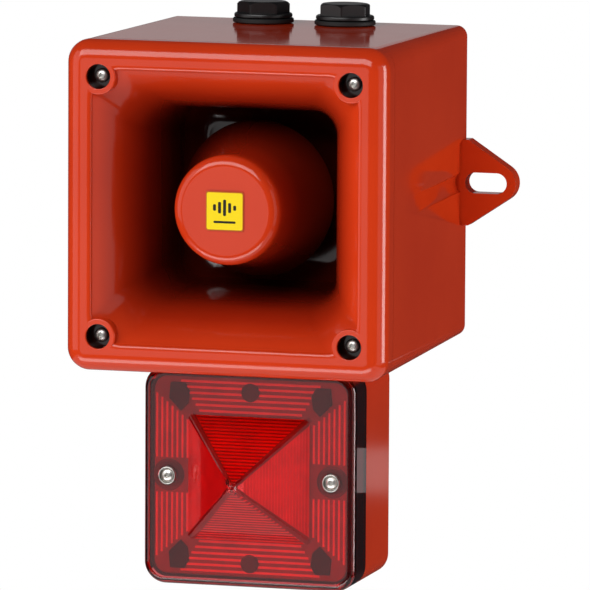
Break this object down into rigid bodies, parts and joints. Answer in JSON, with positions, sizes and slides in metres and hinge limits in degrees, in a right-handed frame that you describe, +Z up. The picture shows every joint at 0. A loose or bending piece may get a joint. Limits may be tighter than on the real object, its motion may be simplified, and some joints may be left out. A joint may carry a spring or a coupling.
{
  "type": "horn strobe",
  "caption": "Wall-mounted alarm sounder with a square flared horn, a central reflector and a square red strobe beacon hung below it.",
  "frame": {"origin": "centre of the flat back of the horn box on the wall, midway between the two fixing lugs", "axes": "+Y into the wall, -Y out of the horn mouth, +Z up, +X to the right seen from the front"},
  "size_m": [0.1742, 0.136, 0.2323],
  "materials": {
    "shell_red": "glossy moulded red",
    "lens_red": "clear red, glossy",
    "nylon_black": "satin black nylon",
    "rubber_black": "matt black rubber",
    "steel": "bright plated steel",
    "iron_dark": "dull plated iron",
    "ferrite": "matt grey ferrite",
    "board_green": "solder mask green",
    "terminal_green": "moulded green",
    "plastic_white": "moulded white",
    "switch_blue": "moulded blue",
    "copper": "enamelled copper wire",
    "film_amber": "thin amber film",
    "label_yellow": "printed yellow film",
    "mirror": "bright reflector metal",
    "tube_glass": "clear glass",
    "can_blue": "blue sleeve"
  },
  "bodies": {
    "housing": {"rear_housing": "shell_red", "cover_seal": "rubber_black", "main_board": "board_green", "board_screw_top_left": "steel", "board_screw_top_right": "steel", "board_screw_bottom_left": "steel", "board_screw_bottom_right": "steel", "terminal_block": "terminal_green", "tone_switch_body": "switch_blue", "volume_body": "switch_blue", "board_capacitor": "nylon_black", "board_transformer": "ferrite", "driver_header": "plastic_white", "strobe_lead": "nylon_black", "plug_locknut_left": "nylon_black", "plug_locknut_right": "nylon_black", "nipple": "nylon_black", "nipple_seal": "rubber_black", "nipple_nut_upper": "nylon_black", "nipple_nut_lower": "nylon_black", "beacon_base": "shell_red", "lens_seal": "rubber_black", "strobe_board": "board_green", "strobe_dish": "mirror", "flash_tube": "tube_glass", "trigger_coil": "copper", "flash_capacitor": "can_blue"},
    "cover": {"front_cover": "shell_red", "horn_reflector": "shell_red", "label_plate": "label_yellow", "inner_horn": "shell_red", "driver_spacer": "nylon_black", "driver_top_plate": "iron_dark", "driver_magnet": "ferrite", "driver_yoke": "iron_dark", "driver_screw_left": "steel", "driver_screw_right": "steel", "driver_lead": "nylon_black", "driver_plug": "plastic_white"},
    "lens": {"beacon_lens": "lens_red", "lens_cup_left": "steel", "lens_cup_right": "steel"},
    "diaphragm": {"diaphragm": "film_amber", "voice_coil": "copper"},
    "volume_knob": {"volume_knob": "plastic_white"},
    "screw_top_left": {"cover_screw_top_left": "steel"},
    "screw_top_right": {"cover_screw_top_right": "steel"},
    "screw_bottom_left": {"cover_screw_bottom_left": "steel"},
    "screw_bottom_right": {"cover_screw_bottom_right": "steel"},
    "lens_screw_left": {"lens_screw_left": "steel"},
    "lens_screw_right": {"lens_screw_right": "steel"},
    "washer_left": {"plug_washer_left": "rubber_black"},
    "plug_left": {"stopping_plug_left": "nylon_black"},
    "washer_right": {"plug_washer_right": "rubber_black"},
    "plug_right": {"stopping_plug_right": "nylon_black"},
    "tone_slider_1": {"tone_slider_1": "plastic_white"},
    "tone_slider_2": {"tone_slider_2": "plastic_white"},
    "tone_slider_3": {"tone_slider_3": "plastic_white"},
    "tone_slider_4": {"tone_slider_4": "plastic_white"}
  },
  "joints": [
    {"name": "cover_release", "type": "slide", "parent": "housing", "child": "cover", "axis": [0, -1, 0], "range_m": [0, 0.14]},
    {"name": "lens_release", "type": "slide", "parent": "housing", "child": "lens", "axis": [0, -1, 0], "range_m": [0, 0.04]},
    {"name": "diaphragm_beat", "type": "slide", "parent": "cover", "child": "diaphragm", "axis": [0, 1, 0], "range_m": [-0.0003, 0.0003], "stiffness_N_per_m": 2500},
    {"name": "volume_turn", "type": "hinge", "parent": "housing", "child": "volume_knob", "pos_m": [0.03, -0.018, 0.006], "axis": [0, -1, 0], "range_deg": [-270, 0]},
    {"name": "cover_screw_top_left_turn", "type": "hinge", "parent": "cover", "child": "screw_top_left", "pos_m": [-0.05245, -0.131, 0.05245], "axis": [0, -1, 0], "continuous": true},
    {"name": "cover_screw_top_right_turn", "type": "hinge", "parent": "cover", "child": "screw_top_right", "pos_m": [0.05245, -0.131, 0.05245], "axis": [0, -1, 0], "continuous": true},
    {"name": "cover_screw_bottom_left_turn", "type": "hinge", "parent": "cover", "child": "screw_bottom_left", "pos_m": [-0.05245, -0.131, -0.05245], "axis": [0, -1, 0], "continuous": true},
    {"name": "cover_screw_bottom_right_turn", "type": "hinge", "parent": "cover", "child": "screw_bottom_right", "pos_m": [0.05245, -0.131, -0.05245], "axis": [0, -1, 0], "continuous": true},
    {"name": "lens_screw_left_turn", "type": "hinge", "parent": "lens", "child": "lens_screw_left", "pos_m": [-0.0346, -0.098, -0.1135], "axis": [0, -1, 0], "continuous": true},
    {"name": "lens_screw_right_turn", "type": "hinge", "parent": "lens", "child": "lens_screw_right", "pos_m": [0.0346, -0.098, -0.1135], "axis": [0, -1, 0], "continuous": true},
    {"name": "plug_left_lift", "type": "slide", "parent": "housing", "child": "washer_left", "axis": [0, 0.0191, 0.9998], "range_m": [0, 0.0121]},
    {"name": "plug_left_turn", "type": "hinge", "parent": "washer_left", "child": "plug_left", "pos_m": [-0.0175, -0.0205, 0.06479], "axis": [0, 0.0191, 0.9998], "range_deg": [0, 2880]},
    {"name": "plug_right_lift", "type": "slide", "parent": "housing", "child": "washer_right", "axis": [0, 0.0191, 0.9998], "range_m": [0, 0.0121]},
    {"name": "plug_right_turn", "type": "hinge", "parent": "washer_right", "child": "plug_right", "pos_m": [0.0175, -0.0205, 0.06479], "axis": [0, 0.0191, 0.9998], "range_deg": [0, 2880]},
    {"name": "tone_slider_1_slide", "type": "slide", "parent": "housing", "child": "tone_slider_1", "axis": [0, 0, 1], "range_m": [0, 0.002]},
    {"name": "tone_slider_2_slide", "type": "slide", "parent": "housing", "child": "tone_slider_2", "axis": [0, 0, 1], "range_m": [0, 0.002]},
    {"name": "tone_slider_3_slide", "type": "slide", "parent": "housing", "child": "tone_slider_3", "axis": [0, 0, 1], "range_m": [0, 0.002]},
    {"name": "tone_slider_4_slide", "type": "slide", "parent": "housing", "child": "tone_slider_4", "axis": [0, 0, 1], "range_m": [0, 0.002]}
  ],
  "couplings": [
    {"joint": "plug_left_lift", "follows": "plug_left_turn", "m_per_rad": 0.00023873},
    {"joint": "plug_right_lift", "follows": "plug_right_turn", "m_per_rad": 0.00023873}
  ]
}
